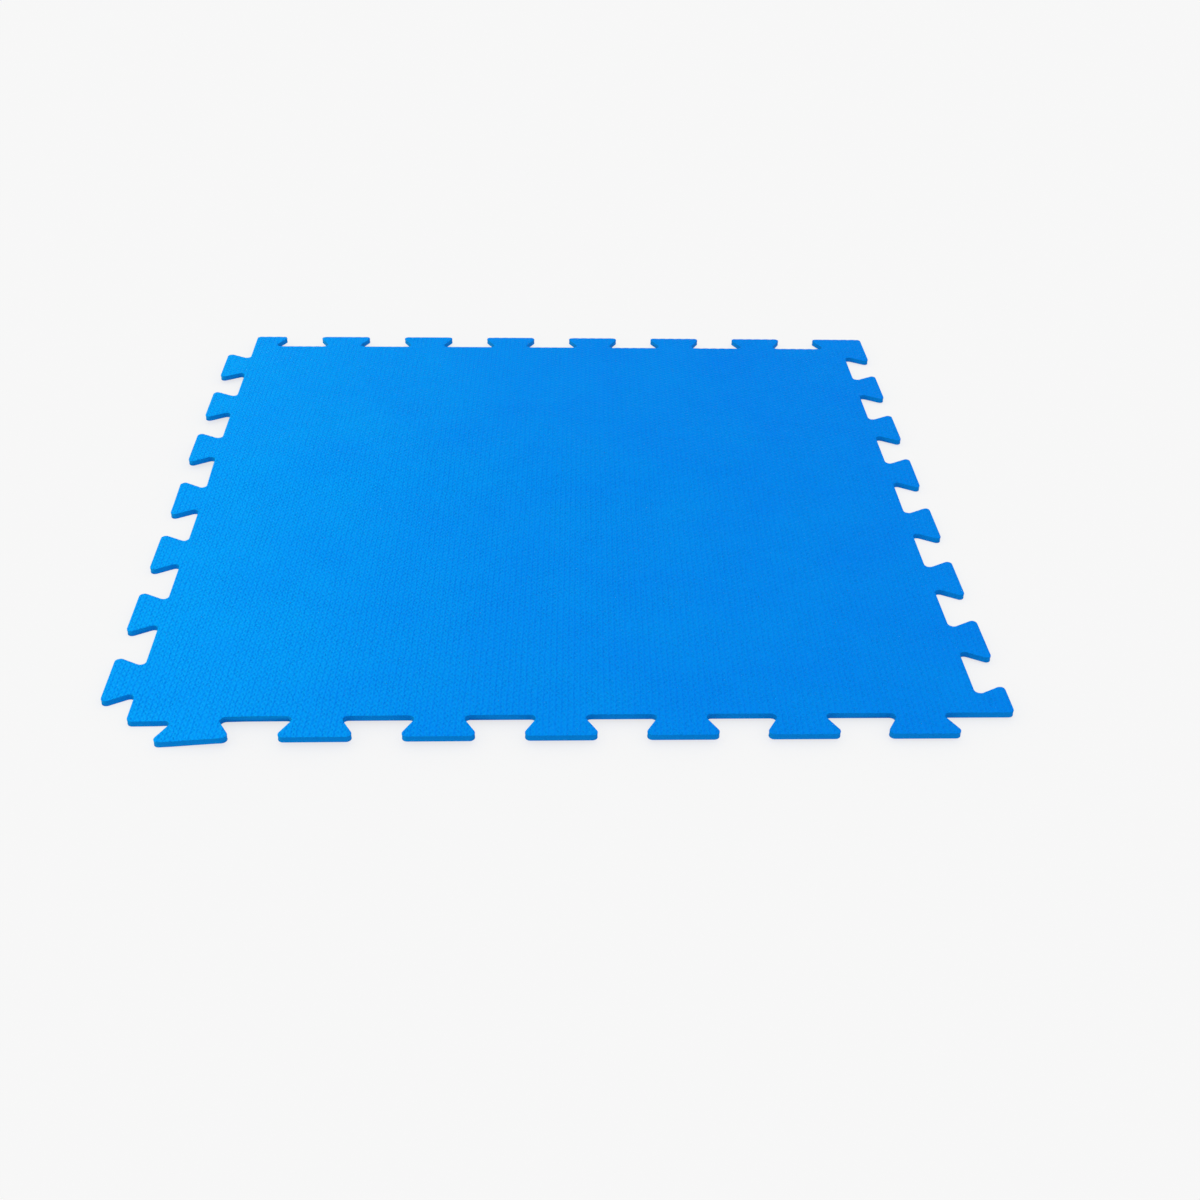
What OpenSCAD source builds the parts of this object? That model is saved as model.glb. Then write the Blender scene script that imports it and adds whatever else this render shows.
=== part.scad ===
// Interlocking foam mat for pinning out and blocking knitted pieces.
// The mat is one square sheet with a die-cut edge: dovetail tabs stand out along the
// front and the left, and sockets of the same shape are cut into the back and the right.
// Every mat is alike, so mats lock together when they are laid side by side, all turned
// the same way.
// Millimetres, +Z up. The origin is on the underside, at the middle of the outline's
// bounding square.

/* [Sheet] */
// Laying pitch: how far one mat lies from the next when they are joined
mat_pitch = 1000; // [600:10:1200]
// Thickness of the closed-cell foam between the two skins
core_t = 6.4; // [4:0.2:20]
// Thickness of the dense embossed skin on top
top_skin_t = 0.8; // [0.4:0.1:2]
// Thickness of the dense skin underneath
underside_skin_t = 0.8; // [0.4:0.1:2]

/* [Interlocking edge] */
// Distance from one tab to the next along an edge
tab_pitch = 135.5; // [115:0.5:180]
// Distance from the mat's corner to the middle of the first tab
first_tab = 77; // [60:0.5:110]
// How far a tab stands out from the edge
tab_depth = 37; // [25:0.5:50]
// Width of a tab at its neck, where it leaves the edge, before rounding
neck_w = 48; // [30:0.5:60]
// Width of a tab at its outer end, before rounding
end_w = 89; // [65:0.5:100]
// Radius of every corner of the outline
corner_r = 6; // [1:0.5:8]
// Shortest straight end that an edge keeps after its last tab
end_land = 20; // [5:1:60]
// Gap all along the joint between one mat and the next
joint_gap = 0.5; // [0:0.1:1]

/* [Hidden] */
// Short chords that make up each rounded corner
arc_steps = 6;
// Sideways run of a tab's flank for each millimetre of depth
flank_slope = (end_w - neck_w) / 2 / tab_depth;
// The last tab leaves room for the sockets cut into the next edge, and for the end land
last_tab_max = mat_pitch - joint_gap - tab_depth - end_land - end_w / 2;
tab_count = floor((last_tab_max - first_tab) / tab_pitch) + 1;
// The outline's bounding square, seen from the corner where the two tabbed edges meet
outline_low = -tab_depth;
outline_high = mat_pitch - joint_gap;
outline_mid = (outline_low + outline_high) / 2;

function unit(v) = v / norm(v);

// Half the width of a dovetail at one depth. A gap moves both flanks apart, square to
// the flank, which is how a socket is wider than the tab that goes into it.
function dovetail_half(depth, gap) =
    neck_w / 2 + flank_slope * depth + gap * sqrt(1 + pow(flank_slope, 2));

// Corners of one dovetail as [along the edge, depth, radius]. With no gap it is a tab.
// With a gap it is the socket for that tab, parallel to it all the way round.
function dovetail(centre, gap) =
    let (neck = dovetail_half(gap, gap), end = dovetail_half(tab_depth + gap, gap))
    [
        [centre - neck, gap, corner_r - gap],
        [centre - end, tab_depth + gap, corner_r + gap],
        [centre + end, tab_depth + gap, corner_r + gap],
        [centre + neck, gap, corner_r - gap]
    ];

function dovetail_row(gap) =
    [for (k = [0 : tab_count - 1]) each dovetail(first_tab + k * tab_pitch, gap)];

function backwards(list) = [for (i = [len(list) - 1 : -1 : 0]) list[i]];

// Corners of the whole outline as [x, y, radius], counter-clockwise from the front left.
// The right edge is the left edge moved by one laying pitch and drawn in by the gap, and
// the back edge is the front edge treated the same way, so each fits the next mat.
function mat_corners() =
    let (tabs = dovetail_row(0), sockets = dovetail_row(joint_gap))
    [
        [0, 0, corner_r],
        for (c = tabs) [c[0], -c[1], c[2]],
        [outline_high, 0, corner_r],
        for (c = sockets) [mat_pitch - c[1], c[0], c[2]],
        [outline_high, outline_high, corner_r],
        for (c = backwards(sockets)) [c[0], mat_pitch - c[1], c[2]],
        [0, outline_high, corner_r],
        for (c = backwards(tabs)) [-c[1], c[0], c[2]]
    ];

// One rounded corner: an arc that touches both of the lines that meet there. The radius
// is limited to what half of the shorter line can hold.
function rounded_corner(before, corner, after, radius) =
    let (
        to_before = unit(before - corner),
        to_after = unit(after - corner),
        half_angle = acos(to_before * to_after) / 2,
        room = min(norm(before - corner), norm(after - corner)) / 2,
        r = min(radius, room * tan(half_angle)),
        centre = corner + unit(to_before + to_after) * r / sin(half_angle),
        from = corner + to_before * r / tan(half_angle) - centre,
        start = atan2(from[1], from[0]),
        turn = (180 - 2 * half_angle) * sign(cross(to_after, to_before))
    )
    [
        for (i = [0 : arc_steps])
            let (angle = start + turn * i / arc_steps)
            centre + r * [cos(angle), sin(angle)]
    ];

function xy(corner) = [corner[0], corner[1]];

function mat_outline() =
    let (corners = mat_corners(), n = len(corners))
    [
        for (i = [0 : n - 1])
            each rounded_corner(
                xy(corners[(i + n - 1) % n]),
                xy(corners[i]),
                xy(corners[(i + 1) % n]),
                corners[i][2]
            )
    ];

// One layer of the sheet. All layers are cut by the same die, so they share the outline.
module layer(bottom, thickness) {
    translate([-outline_mid, -outline_mid, bottom])
        linear_extrude(height = thickness)
            polygon(mat_outline());
}

// Dense skin that lies on the table
module underside_skin() {
    color("#0379D6") layer(0, underside_skin_t);
}

// Closed-cell foam that the pins go into, seen only at the cut edge
module foam_core() {
    color("#0273CE") layer(underside_skin_t, core_t);
}

// Dense embossed skin that the knitting is laid on
module top_skin() {
    color("#048AEE") layer(underside_skin_t + core_t, top_skin_t);
}

underside_skin();
foam_core();
top_skin();
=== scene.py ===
# %% [markdown]
# # An interlocking foam mat for blocking knitting
#
# Damp knitting is stretched out on this mat and pinned down until it is dry. The mat is
# one sheet of blue EVA foam. A roller presses a grain into its top while the foam is
# warm, and a steel die then stamps out the dovetail edge. The lesson works in that
# order: emboss a sheet, stamp it, let it lie on the floor, and then give it its colour.
#
# The frame holds the measured mat as three plain layers. It is loaded first, and its
# size is noted.

# %% Load the measured mat
import math

import bmesh
import bpy
from mathutils import Matrix, Vector


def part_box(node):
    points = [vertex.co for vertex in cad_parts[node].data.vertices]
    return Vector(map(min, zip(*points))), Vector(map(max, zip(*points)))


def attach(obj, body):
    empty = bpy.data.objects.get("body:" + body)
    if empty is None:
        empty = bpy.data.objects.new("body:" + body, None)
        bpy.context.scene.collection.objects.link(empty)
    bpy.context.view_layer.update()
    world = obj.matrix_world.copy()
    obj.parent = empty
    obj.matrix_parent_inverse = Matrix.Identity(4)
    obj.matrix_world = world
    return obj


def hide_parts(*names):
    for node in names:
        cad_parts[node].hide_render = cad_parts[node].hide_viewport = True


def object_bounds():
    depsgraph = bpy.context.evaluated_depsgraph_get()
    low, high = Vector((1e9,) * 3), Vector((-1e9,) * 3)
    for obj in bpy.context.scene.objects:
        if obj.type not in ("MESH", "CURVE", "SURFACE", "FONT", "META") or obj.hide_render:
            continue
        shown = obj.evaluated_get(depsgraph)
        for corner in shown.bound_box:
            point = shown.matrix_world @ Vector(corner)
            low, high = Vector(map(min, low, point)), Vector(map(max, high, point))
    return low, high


MM = 0.001

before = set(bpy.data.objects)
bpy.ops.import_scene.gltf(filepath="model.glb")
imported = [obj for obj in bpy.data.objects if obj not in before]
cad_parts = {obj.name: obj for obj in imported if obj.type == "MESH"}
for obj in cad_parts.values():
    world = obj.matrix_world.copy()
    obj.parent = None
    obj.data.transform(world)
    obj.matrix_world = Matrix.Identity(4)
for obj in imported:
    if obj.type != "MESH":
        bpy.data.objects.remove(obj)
cad_low, cad_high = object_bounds()
print("Measured mat, mm:", [round(x / MM, 1) for x in cad_high - cad_low])

# %% [markdown]
# ## Camera
#
# A camera could be dragged into place by eye. Here it is placed by what it looks at, from
# how far away and how steeply, because such numbers can be read and corrected. Blender
# wants a position and a turn instead, so three directions are worked out: forward, right
# and up. They become the columns of the camera's matrix, which looks along its own -Z.
# The slight roll is that of a camera held in the hand.

# %% Camera
# The focal length is counted in pixels of a picture this many pixels wide
PICTURE_PX = 1200
FOCAL_PX = 1526.6
SENSOR_MM = 36
ELEVATION = math.radians(34.457)
YAW = math.radians(2.874)
ROLL = math.radians(1.383)
# In metres, like everything in the frame
DISTANCE = 1.9241
AIM = Vector((0.0553, -0.2357, 0))

level_part = math.cos(ELEVATION)
forward = Vector(
    (math.sin(YAW) * level_part, math.cos(YAW) * level_part, -math.sin(ELEVATION))
)
right = Vector((math.cos(YAW), -math.sin(YAW), 0))
up = right.cross(forward)
turned_right = right * math.cos(ROLL) + up * math.sin(ROLL)
turned_up = up * math.cos(ROLL) - right * math.sin(ROLL)

camera_data = bpy.data.cameras.new("camera")
camera_data.sensor_width = SENSOR_MM
camera_data.lens = SENSOR_MM * FOCAL_PX / PICTURE_PX
camera = bpy.data.objects.new("camera", camera_data)
camera_turn = Matrix((turned_right, turned_up, -forward)).transposed()
camera.matrix_world = Matrix.Translation(AIM - forward * DISTANCE) @ camera_turn.to_4x4()
bpy.context.scene.collection.objects.link(camera)
bpy.context.scene.camera = camera
print("Camera at, mm:", [round(x / MM) for x in camera.location])

# %% [markdown]
# ## The die
#
# Every layer is stamped by the same die. Its outline could be drawn again here, but the
# measured solid of each layer already has it. That solid comes as loose triangles. A copy
# is merged, and the flat triangles are dissolved, which leaves one large face on top, one
# below and a clean wall. The die drags the rim of the foam down a little as it bites, so
# a rim can be rounded with a bevel while the solid is still this simple.

# %% Stamped solid of one layer
WELD = 0.001 * MM
FLAT = math.radians(1)
SAME_LEVEL = 0.01 * MM
RIM_SEGMENTS = 3


def stamped_solid(node, rim_z=None, rim_r=0.0):
    """A clean copy of a measured layer. The rim at the height rim_z is rounded."""
    solid = bmesh.new()
    solid.from_mesh(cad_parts[node].data)
    bmesh.ops.remove_doubles(solid, verts=solid.verts, dist=WELD)
    bmesh.ops.dissolve_limit(
        solid, angle_limit=FLAT, verts=solid.verts, edges=solid.edges
    )
    if rim_z is not None:
        rim = [
            edge
            for edge in solid.edges
            if all(abs(vert.co.z - rim_z) < SAME_LEVEL for vert in edge.verts)
        ]
        bmesh.ops.bevel(
            solid,
            geom=rim,
            offset=rim_r,
            segments=RIM_SEGMENTS,
            profile=0.5,
            affect="EDGES",
            material=-1,
        )
    print("Outline of", node, "stamped:", len(solid.faces), "faces")
    return solid


def new_object(name, shape):
    """Put a finished bmesh into the scene as an object."""
    mesh = bpy.data.meshes.new(name)
    shape.to_mesh(mesh)
    shape.free()
    made = bpy.data.objects.new(name, mesh)
    bpy.context.scene.collection.objects.link(made)
    return made


# %% [markdown]
# ## The embossed sheet
#
# The grain is a field of low slanted seeds, like grains of rice, in upright columns. Each
# column sits half a step off from the next. One seed could be modelled and repeated many
# thousands of times. A few cosine waves add up to the whole field instead, and the same
# list of waves can drive the material later. The waves that run askew give the seeds
# their lean. How far each wave has turned at the top of a seed decides which flank is the
# steep one, and so what a low lamp lights up.

# %% Grain of the embossing roller
COLUMN_W = 6.9 * MM
SEED_PITCH = 8.8 * MM
GRAIN_TURN = math.radians(-1.6)
RELIEF = 0.7 * MM
# Half turns per column, turns per seed, strength, and degrees turned at a seed's top
WAVES = (
    (2, 0, 0.65, -125),
    (4, 0, 0.5, -20),
    (1, 1, 1.15, 35),
    (3, 1, 0.75, -15),
    (1, -1, 1.1, 5),
    (3, -1, 0.55, 45),
)
# The least and the most that the waves add up to
LOWEST_WAVE = -3.62
HIGHEST_WAVE = 3.25
WAVE_SPAN = HIGHEST_WAVE - LOWEST_WAVE


def seed_height(x, y):
    """Height of the grain at one place, from 0 in the deepest pit to 1 on a seed."""
    across = math.pi * x / COLUMN_W
    along = 2 * math.pi * y / SEED_PITCH
    waves = sum(
        strength * math.cos(half_turns * across + turns * along + math.radians(phase))
        for half_turns, turns, strength, phase in WAVES
    )
    return (waves - LOWEST_WAVE) / WAVE_SPAN


print("Seeds on a square metre:", round(1 / (COLUMN_W * SEED_PITCH)))

# %% [markdown]
# A sheet this wide needs many faces, so they have to be well placed. The grid's lines run
# askew from each seed to the next ones on its right, in half steps. Of every four points
# one is then the top of a seed, one is a pit and two are the saddles between, so eight
# triangles hold one seed. The faces are split into triangles before the cut, because a
# triangle is always flat and is cut cleanly. The border is pulled down and capped, which
# makes the sheet a slab.

# %% Embossed sheet
SHEET_MARGIN = 6 * MM

skin_low, skin_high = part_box("top_skin")
half_way_back = Vector((COLUMN_W / 2, SEED_PITCH / 4))
half_way_front = Vector((COLUMN_W / 2, -SEED_PITCH / 4))
lay = Matrix((half_way_back, half_way_front)).transposed()
sheet_reach = (skin_high.x + SHEET_MARGIN) * (1 + abs(math.sin(GRAIN_TURN)))
back_steps, front_steps = [
    2 * math.ceil(sum(abs(c) for c in row) * sheet_reach) for row in lay.inverted()
]

# The grid is made one unit wide, so a point's place times the steps counts half steps
sheet = bmesh.new()
bmesh.ops.create_grid(sheet, x_segments=back_steps, y_segments=front_steps, size=0.5)
roller_turn = Matrix.Rotation(GRAIN_TURN, 2)
for vert in sheet.verts:
    straight = lay @ Vector((vert.co.x * back_steps, vert.co.y * front_steps))
    depth = RELIEF * (1 - seed_height(straight.x, straight.y))
    vert.co = (*(roller_turn @ straight), skin_high.z - depth)
bmesh.ops.triangulate(sheet, faces=sheet.faces, quad_method="FIXED")
border = [edge for edge in sheet.edges if edge.is_boundary]
for skirt in bmesh.ops.extrude_edge_only(sheet, edges=border)["geom"]:
    if isinstance(skirt, bmesh.types.BMVert):
        skirt.co.z = skin_low.z - SHEET_MARGIN
open_edge = [edge for edge in sheet.edges if edge.is_boundary]
bmesh.ops.contextual_create(sheet, geom=open_edge)
bmesh.ops.recalc_face_normals(sheet, faces=sheet.faces)
print("Embossed sheet:", back_steps, "by", front_steps, "cells")
blank = new_object("blank", sheet)

# %% [markdown]
# ## Stamping
#
# The outline could be cut into the grid line by line. A Boolean set to Intersect does it
# at once: it keeps what lies inside both shapes, which is what a die does to a sheet. The
# grain runs right to the cut, as it does on the real mat. The result is copied into the
# finished piece, and the blank and the die are thrown away.

# %% Stamp the top skin
RIM_R = 0.6 * MM

die = new_object("die", stamped_solid("top_skin", skin_high.z, RIM_R))
press = blank.modifiers.new("press", "BOOLEAN")
press.operation = "INTERSECT"
press.solver = "MANIFOLD"
press.object = die
stamped = blank.evaluated_get(bpy.context.evaluated_depsgraph_get())
top_shape = bmesh.new()
top_shape.from_mesh(stamped.to_mesh())
stamped.to_mesh_clear()
for scrap in (blank, die):
    bpy.data.meshes.remove(scrap.data)
print("Embossed top skin:", len(top_shape.faces), "faces")

# %% [markdown]
# ## Foam core and underside
#
# The core is what shows at the cut edge. Foam is squeezed while the die goes through it
# and springs back afterwards, which leaves the wall very slightly hollow. One cut at half
# height gives a ring of points, and these are drawn inwards along their own normals.
# The underside is a plain skin with its lower rim rounded.

# %% Foam core and underside skin
WALL_HOLLOW = 0.3 * MM

core_shape = stamped_solid("foam_core")
core_low, core_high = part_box("foam_core")
halved = bmesh.ops.bisect_plane(
    core_shape,
    geom=core_shape.verts[:] + core_shape.edges[:] + core_shape.faces[:],
    plane_co=(core_low + core_high) / 2,
    plane_no=(0, 0, 1),
)
core_shape.normal_update()
ring = [part for part in halved["geom_cut"] if isinstance(part, bmesh.types.BMVert)]
inwards = [(vert, -WALL_HOLLOW * vert.normal) for vert in ring]
for vert, move in inwards:
    vert.co += move
print("Ring drawn in at the core's wall:", len(ring), "points")

under_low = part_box("underside_skin")[0]
under_shape = stamped_solid("underside_skin", under_low.z, RIM_R)

# %% [markdown]
# ## How the mat lies
#
# A foam mat never lies dead flat after it has been rolled up for posting. This one keeps
# two low swells. One runs along the front edge, and falls steeply at its left end, so the
# front left corner dips to the floor. The other crosses the back half and is highest at
# the left. A simulation would let the mat settle, but not into these two swells, so every
# point is lifted by a formula. A large face can't bend, so the flat faces are first
# sliced into a grid with a bisecting plane per line.

# %% Slices that let the flat faces bend
SLICE = 25 * MM
# A face is sliced where the Z of its normal is at most this
ONLY_DOWNWARD = -0.9
EVERY_WAY = 1.0


def slice_flats(shape, highest_normal_z):
    for axis in (Vector((1, 0, 0)), Vector((0, 1, 0))):
        last_line = int(cad_high.dot(axis) / SLICE)
        for line in range(-last_line, last_line + 1):
            flats = [face for face in shape.faces if face.normal.z <= highest_normal_z]
            edges = {edge for face in flats for edge in face.edges}
            verts = {vert for face in flats for vert in face.verts}
            bmesh.ops.bisect_plane(
                shape,
                geom=[*verts, *edges, *flats],
                plane_co=axis * line * SLICE,
                plane_no=axis,
            )


slice_flats(top_shape, ONLY_DOWNWARD)
slice_flats(core_shape, EVERY_WAY)
slice_flats(under_shape, EVERY_WAY)
layers = {
    "top_skin": top_shape,
    "foam_core": core_shape,
    "underside_skin": under_shape,
}
print("Sliced:", {node: len(shape.faces) for node, shape in layers.items()})

# %% Swells
# Height of each swell, then where it starts, peaks and ends from left to right and from
# front to back, all in millimetres from the corner of the mat's box. The box is 1036.5
# wide. A swell that peaks at the edge starts just outside it, and one that has not died
# away at the far edge ends beyond it.
SWELLS = (
    (6, (60, 170, 2200), (-1, 0, 370)),
    (6, (-1, 0, 1600), (500, 640, 1600)),
)


def crest(place, start, peak, end):
    """A smooth hump: 0 at its start, 1 at its peak and 0 again at its end."""
    foot = start if place < peak else end
    share = max(0, 1 - (place - peak) / (foot - peak))
    return 0.5 - 0.5 * math.cos(math.pi * share)


def lift(x, y):
    """How high the mat is off the floor at one place."""
    from_left = (x - cad_low.x) / MM
    from_front = (y - cad_low.y) / MM
    return MM * sum(
        rise * crest(from_left, *across) * crest(from_front, *back)
        for rise, across, back in SWELLS
    )


print("Front left corner off the floor, mm:", round(lift(cad_low.x, cad_low.y) / MM, 1))

# %% [markdown]
# The cut leaves slivers and idle points on straight edges. Slivers are merged and idle
# points dissolved, so that each layer is one closed mesh. All three layers are then
# lifted by the same formula, which keeps them bonded.

# %% Lift the layers and make the pieces
# Points this close are one, and an edge that turns less than this at a point is straight
SLIVER = 0.01 * MM
STRAIGHT = math.radians(10)
# Where two faces meet at more than this, the edge is seen
SHARP = math.radians(40)

pieces = {}
for node, shape in layers.items():
    bmesh.ops.remove_doubles(shape, verts=shape.verts, dist=SLIVER)
    idle = [vert for vert in shape.verts if len(vert.link_edges) == 2]
    bmesh.ops.dissolve_limit(shape, angle_limit=STRAIGHT, verts=idle, edges=[])
    for vert in shape.verts:
        vert.co.z += lift(vert.co.x, vert.co.y)
    piece = new_object("mat_" + node, shape)
    piece.data.shade_smooth()
    piece.data.set_sharp_from_angle(angle=SHARP)
    pieces[node] = piece
    print(piece.name, len(piece.data.polygons), "faces")

# %% [markdown]
# ## Colour and nodes
#
# Colours are written as on a colour picker, in sRGB. Shaders work in linear light, so one
# function converts them, with the numbers of the sRGB standard. A second small function
# adds a node, sets it and links it, which keeps each material short enough to read.

# %% Helpers for materials
EVA_IOR = 1.48


def linear(colour):
    channels = [int(colour[i : i + 2], 16) / 255 for i in (1, 3, 5)]
    bent = [c / 12.92 if c <= 0.04045 else ((c + 0.055) / 1.055) ** 2.4 for c in channels]
    return (*bent, 1)


def add(owner, kind, settings=None, inputs=None):
    """Add a node. An input is a plain value, or a socket to link from."""
    node = owner.node_tree.nodes.new(kind)
    for name, value in (settings or {}).items():
        setattr(node, name, value)
    for name, value in (inputs or {}).items():
        if isinstance(value, bpy.types.NodeSocket):
            owner.node_tree.links.new(value, node.inputs[name])
        else:
            node.inputs[name].default_value = value
    return node


def new_foam(name, roughness, specular):
    """A material with its Principled shader. EVA foam is matt and hardly glints."""
    foam = bpy.data.materials.new(name)
    foam.use_nodes = True
    principled = foam.node_tree.nodes["Principled BSDF"]
    principled.inputs["IOR"].default_value = EVA_IOR
    principled.inputs["Roughness"].default_value = roughness
    principled.inputs["Specular IOR Level"].default_value = specular
    return foam, principled


print("Middle grey in linear light:", round(linear("#808080")[0], 3))

# %% [markdown]
# ## Embossed EVA skin
#
# The hot roller melts the foam's surface shut, so the skin is dense, even and matt. Each
# seed catches the light on one flank and is shaded in its groove. A picture of the grain
# could be laid over the mat, but the waves that shaped the mesh can be drawn with nodes
# as well, and they stay sharp from close by. A Mapping node turns the pattern as the
# sheet was turned. Warm foam is pulled a little as it leaves the roller, so a soft noise
# shifts the pattern here and there, and the columns wander.

# %% Where the grain lies on the skin
SKIN_ROUGHNESS = 0.6
SKIN_SPECULAR = 0.01
# The most that the foam is pulled, how wide a pulled patch is, and its finer sizes
PULL = 4 * MM
PULL_PATCH = 16 * MM
PULL_DETAIL = 2.0

embossed, skin_shader = new_foam("eva_embossed_skin", SKIN_ROUGHNESS, SKIN_SPECULAR)
on_skin = add(embossed, "ShaderNodeTexCoord").outputs["Object"]
pull = add(
    embossed,
    "ShaderNodeTexNoise",
    inputs={"Vector": on_skin, "Scale": 1 / PULL_PATCH, "Detail": PULL_DETAIL},
).outputs["Color"]
pulled = add(
    embossed,
    "ShaderNodeVectorMath",
    {"operation": "MULTIPLY_ADD"},
    {0: pull, 1: (PULL, PULL, 0), 2: on_skin},
).outputs[0]
on_grain = add(
    embossed,
    "ShaderNodeMapping",
    inputs={"Vector": pulled, "Rotation": (0, 0, -GRAIN_TURN)},
).outputs[0]
print("Grain turned by", round(math.degrees(GRAIN_TURN), 1), "degrees")

# %% [markdown]
# A wave is the cosine of an angle that grows across and along the grain. A dot product
# gives that angle in one node. The six waves of the mesh are added up to the height of
# the seeds. One more wave, a full turn to each column, is kept for the colour: it is
# painted shade, which darkens the grooves between the columns.

# %% Waves of the grain
# Half turns per column, turns per seed, and degrees turned at a seed's top
# A wave of painted shade, in the colour only
PAINTED_SHADE_WAVE = (2, 0, -65)


def grain_wave(half_turns, turns, phase):
    per_metre = (half_turns * math.pi / COLUMN_W, turns * 2 * math.pi / SEED_PITCH, 0)
    grown = add(
        embossed,
        "ShaderNodeVectorMath",
        {"operation": "DOT_PRODUCT"},
        {0: on_grain, 1: per_metre},
    ).outputs["Value"]
    ahead = {0: grown, 1: math.radians(phase)}
    angle = add(embossed, "ShaderNodeMath", {"operation": "ADD"}, ahead).outputs[0]
    return add(embossed, "ShaderNodeMath", {"operation": "COSINE"}, {0: angle}).outputs[0]


seeds = -LOWEST_WAVE
for half_turns, turns, strength, phase in WAVES:
    raised = {0: grain_wave(half_turns, turns, phase), 1: strength, 2: seeds}
    seeds = add(
        embossed, "ShaderNodeMath", {"operation": "MULTIPLY_ADD"}, raised
    ).outputs[0]
# Painted shade for the grooves between the columns
groove_shade_wave = grain_wave(*PAINTED_SHADE_WAVE)
print("Waves in the grain:", len(WAVES))

# %% [markdown]
# The roller doesn't bite evenly, so the seeds fade and deepen in patches, and the blue
# drifts where the sheet took up more or less pigment. The skin also has a small uneven
# tooth, as rubber has. All relief goes into one Bump node, which rounds off the few faces
# that each seed has in the mesh. Both the tooth and the bump are drawn coarser and deeper
# than they are, because their true size would hardly show from this far.

# %% Noises in the skin
PIGMENT_DRIFT = 120 * MM
BITE_PATCH = 40 * MM
TOOTH = 4.5 * MM
# How many finer sizes a noise has within it, and how much each one counts
RAGGED = 5.0
PLAIN = 0.0
FINER_SHARE = 0.6

drift, bite, tooth = (
    add(
        embossed,
        "ShaderNodeTexNoise",
        inputs={
            "Vector": on_skin,
            "Scale": 1 / size,
            "Detail": detail,
            "Roughness": FINER_SHARE,
        },
    ).outputs[0]
    for size, detail in ((PIGMENT_DRIFT, RAGGED), (BITE_PATCH, RAGGED), (TOOTH, PLAIN))
)
print("Finest noise in the skin, mm:", round(TOOTH / MM, 1))

# %% Relief and colour of the skin
# Pigment drifts between these two blues, and the columns' painted shade moves it to and
# fro
PALER_AND_LIT_BLUE = "#0096FF"
DEEPER_AND_SHADED_BLUE = "#0085FF"
# How far the columns' painted shade moves the colour from one blue towards the other
PAINTED_GROOVE_SHADE = 0.13
# Added to a noise that is 0.5 on average, so the roller bites fully on average
LEAST_BITE = 0.5
# Depth of the tooth as a share of the depth of the seeds
TOOTH_SHARE = 0.95
BUMP_DEPTH = 1.3 * MM

grain = add(
    embossed, "ShaderNodeMath", {"operation": "DIVIDE"}, {0: seeds, 1: WAVE_SPAN}
).outputs[0]
bitten = add(
    embossed, "ShaderNodeMath", {"operation": "ADD"}, {0: bite, 1: LEAST_BITE}
).outputs[0]
pressed = add(
    embossed, "ShaderNodeMath", {"operation": "MULTIPLY"}, {0: grain, 1: bitten}
).outputs[0]
relief = add(
    embossed,
    "ShaderNodeMath",
    {"operation": "MULTIPLY_ADD"},
    {0: tooth, 1: TOOTH_SHARE, 2: pressed},
).outputs[0]
skin_bump = add(
    embossed, "ShaderNodeBump", inputs={"Distance": BUMP_DEPTH, "Height": relief}
).outputs[0]
# Pigment drift plus the painted shade of the grooves
pigment_and_painted_shade = add(
    embossed,
    "ShaderNodeMath",
    {"operation": "MULTIPLY_ADD"},
    {0: groove_shade_wave, 1: PAINTED_GROOVE_SHADE, 2: drift},
).outputs[0]
skin_blue = add(
    embossed,
    "ShaderNodeMix",
    {"data_type": "RGBA"},
    {0: pigment_and_painted_shade, 6: linear(DEEPER_AND_SHADED_BLUE), 7: linear(PALER_AND_LIT_BLUE)},
).outputs[2]
embossed.node_tree.links.new(skin_blue, skin_shader.inputs["Base Color"])
embossed.node_tree.links.new(skin_bump, skin_shader.inputs["Normal"])
print(embossed.name, len(embossed.node_tree.nodes), "nodes")

# %% [markdown]
# ## Cut edge and underside
#
# At the cut the foam's closed cells are sliced open, which leaves a dry, dull wall with a
# fine pitting. The real cells are a few tenths of a millimetre, too fine to show at this
# distance, so they are drawn coarser. The underside is pressed against a smooth belt: it
# is the same skin without the grain, finely pebbled. A Voronoi texture suits both, as it
# packs round cells side by side and tells how far each point is from its cell's middle.
# That distance sets the depth, and it also darkens the deep middles with painted shade.

# %% Cut edge and underside
FOAM_SPECULAR = 0.05
# The cut foam's blue, and the painted shade deep in its cells
CUT_LIGHT = "#008AE6"
CUT_PIT_SHADE = "#007CD4"
CUT_ROUGHNESS = 0.8
CELL = 1.6 * MM
CELL_DEPTH = 0.1 * MM
# The underside's blue, and the painted shade deep in its cells
BELT_LIGHT = "#0094F6"
BELT_PIT_SHADE = "#007EDE"
BELT_ROUGHNESS = 0.65
BELT_GRAIN = 4 * MM
BELT_DEPTH = 0.15 * MM


def pitted_foam(name, light, pit_shade, size, depth, roughness):
    """Foam with small cells: deep middles in painted shade, and light where they meet."""
    foam, shader = new_foam(name, roughness, FOAM_SPECULAR)
    on_foam = add(foam, "ShaderNodeTexCoord").outputs["Object"]
    pits = add(
        foam, "ShaderNodeTexVoronoi", inputs={"Vector": on_foam, "Scale": 1 / size}
    ).outputs["Distance"]
    # Painted shade: the colour darkens towards the deep middle of each cell
    colour = add(
        foam,
        "ShaderNodeMix",
        {"data_type": "RGBA"},
        {0: pits, 6: linear(pit_shade), 7: linear(light)},
    ).outputs[2]
    bump = add(foam, "ShaderNodeBump", inputs={"Distance": depth, "Height": pits})
    foam.node_tree.links.new(colour, shader.inputs["Base Color"])
    foam.node_tree.links.new(bump.outputs[0], shader.inputs["Normal"])
    print(foam.name, "with cells of", round(size / MM, 1), "mm")
    return foam


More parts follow.
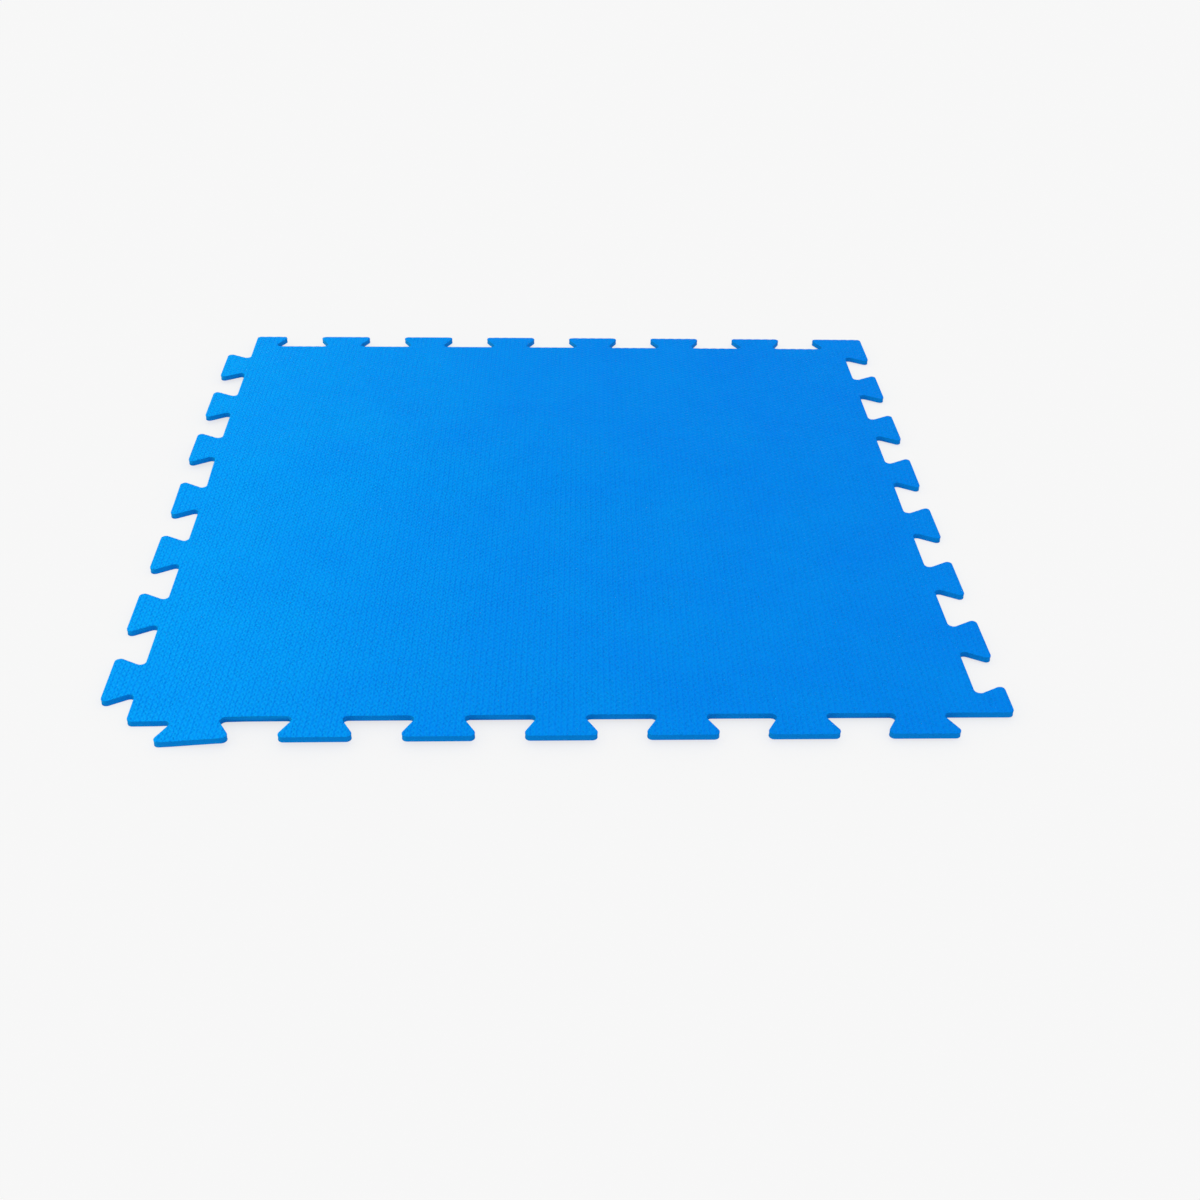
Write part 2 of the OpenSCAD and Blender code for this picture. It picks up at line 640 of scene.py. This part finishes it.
cut_edge = pitted_foam(
    "eva_cut_edge", CUT_LIGHT, CUT_PIT_SHADE, CELL, CELL_DEPTH, CUT_ROUGHNESS
)
belt_skin = pitted_foam(
    "eva_belt_skin", BELT_LIGHT, BELT_PIT_SHADE, BELT_GRAIN, BELT_DEPTH, BELT_ROUGHNESS
)

# %% [markdown]
# ## Give each piece its finish
#
# A skin has two finishes: its own face, and the cut edge round it. A face that stands
# upright belongs to the cut edge, which its normal tells. Each piece then rides on the
# frame's one body and stands for its measured layer, which is hidden.

# %% Finishes and places in the frame
# A face stands upright where the Z of its normal is less than this
UPRIGHT = 0.5

face_finish = {
    "top_skin": embossed,
    "foam_core": cut_edge,
    "underside_skin": belt_skin,
}
for node, piece in pieces.items():
    piece.data.materials.append(face_finish[node])
    piece.data.materials.append(cut_edge)
    for face in piece.data.polygons:
        face.material_index = int(abs(face.normal.z) < UPRIGHT)
    print(piece.name, sum(f.material_index for f in piece.data.polygons), "upright faces")
    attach(piece, "root")
    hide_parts(node)

# %% [markdown]
# ## Floor and light
#
# The mat lies on a plain pale floor. An even white surrounding gives most of the light. A
# wide soft lamp on the left brightens that side and rakes across the grain. It is a warm
# lamp and lights only the mat, so the floor stays a neutral grey. A real floor is paler
# in some places than in others. This one is part real and part glowing, but only to the
# eye, so it stays pale from side to side and still takes the mat's soft shadow.

# %% Floor
# Half the floor's width, in metres
FLOOR_HALF = 14.0
FLOOR_PALE = "#F7F7F7"
GLOW_PALE = "#FDFDFD"
GLOW_SHARE = 0.75


def seen_by_eye(owner):
    """1 for rays from the eye, also by way of gloss and glass, and 0 for all others."""
    path = add(owner, "ShaderNodeLightPath").outputs
    rays = path["Is Camera Ray"]
    for ray in ("Is Glossy Ray", "Is Transmission Ray"):
        both = {0: rays, 1: path[ray]}
        rays = add(owner, "ShaderNodeMath", {"operation": "MAXIMUM"}, both).outputs[0]
    return rays


floor_shape = bmesh.new()
bmesh.ops.create_grid(floor_shape, x_segments=1, y_segments=1, size=FLOOR_HALF)
floor = new_object("floor", floor_shape)

pale = bpy.data.materials.new("painted_studio_floor")
pale.use_nodes = True
pale.node_tree.nodes.clear()
paint = add(pale, "ShaderNodeBsdfDiffuse", inputs={"Color": linear(FLOOR_PALE)})
glow = add(pale, "ShaderNodeEmission", inputs={"Color": linear(GLOW_PALE)})
glowing = add(
    pale,
    "ShaderNodeMath",
    {"operation": "MULTIPLY"},
    {0: seen_by_eye(pale), 1: GLOW_SHARE},
).outputs[0]
mixed = add(
    pale,
    "ShaderNodeMixShader",
    inputs={0: glowing, 1: paint.outputs[0], 2: glow.outputs[0]},
)
add(pale, "ShaderNodeOutputMaterial", inputs={"Surface": mixed.outputs[0]})
floor.data.materials.append(pale)
print("Floor, m across:", 2 * FLOOR_HALF)

# %% Even surrounding
SURROUND = 0.84

world = bpy.data.worlds.new("even_surround")
world.use_nodes = True
sky = world.node_tree.nodes["Background"]
sky.inputs["Color"].default_value = linear("#FFFFFF")
sky_level = add(
    world,
    "ShaderNodeMix",
    inputs={0: seen_by_eye(world), 2: SURROUND, 3: linear(FLOOR_PALE)[0]},
)
world.node_tree.links.new(sky_level.outputs[0], sky.inputs["Strength"])
bpy.context.scene.world = world
bpy.context.scene.view_settings.view_transform = "Standard"
print("Light from all round:", SURROUND)

# %% Soft lamp
LAMP_W = 3.15
LAMP_TINT = "#FFDA80"
LAMP_BEAM = math.radians(69)
# In metres
LAMP_LONG = 1.8
LAMP_WIDE = 0.5
LAMP_AT = Vector((-1.0, 0, 0.45))
LAMP_AIM = Vector((-0.49, 0, 0))

lamp_data = bpy.data.lights.new("soft_lamp", "AREA")
lamp_data.energy = LAMP_W
lamp_data.color = linear(LAMP_TINT)[:3]
lamp_data.shape = "RECTANGLE"
lamp_data.size = LAMP_LONG
lamp_data.size_y = LAMP_WIDE
lamp_data.spread = LAMP_BEAM
lamp = bpy.data.objects.new("soft_lamp", lamp_data)
lamp.location = LAMP_AT
lamp.rotation_euler = (LAMP_AIM - LAMP_AT).to_track_quat("-Z", "Y").to_euler()
lamp.visible_camera = False
bpy.context.scene.collection.objects.link(lamp)
lit = bpy.data.collections.new("lit_by_soft_lamp")
for piece in pieces.values():
    lit.objects.link(piece)
lamp.light_linking.receiver_collection = lit
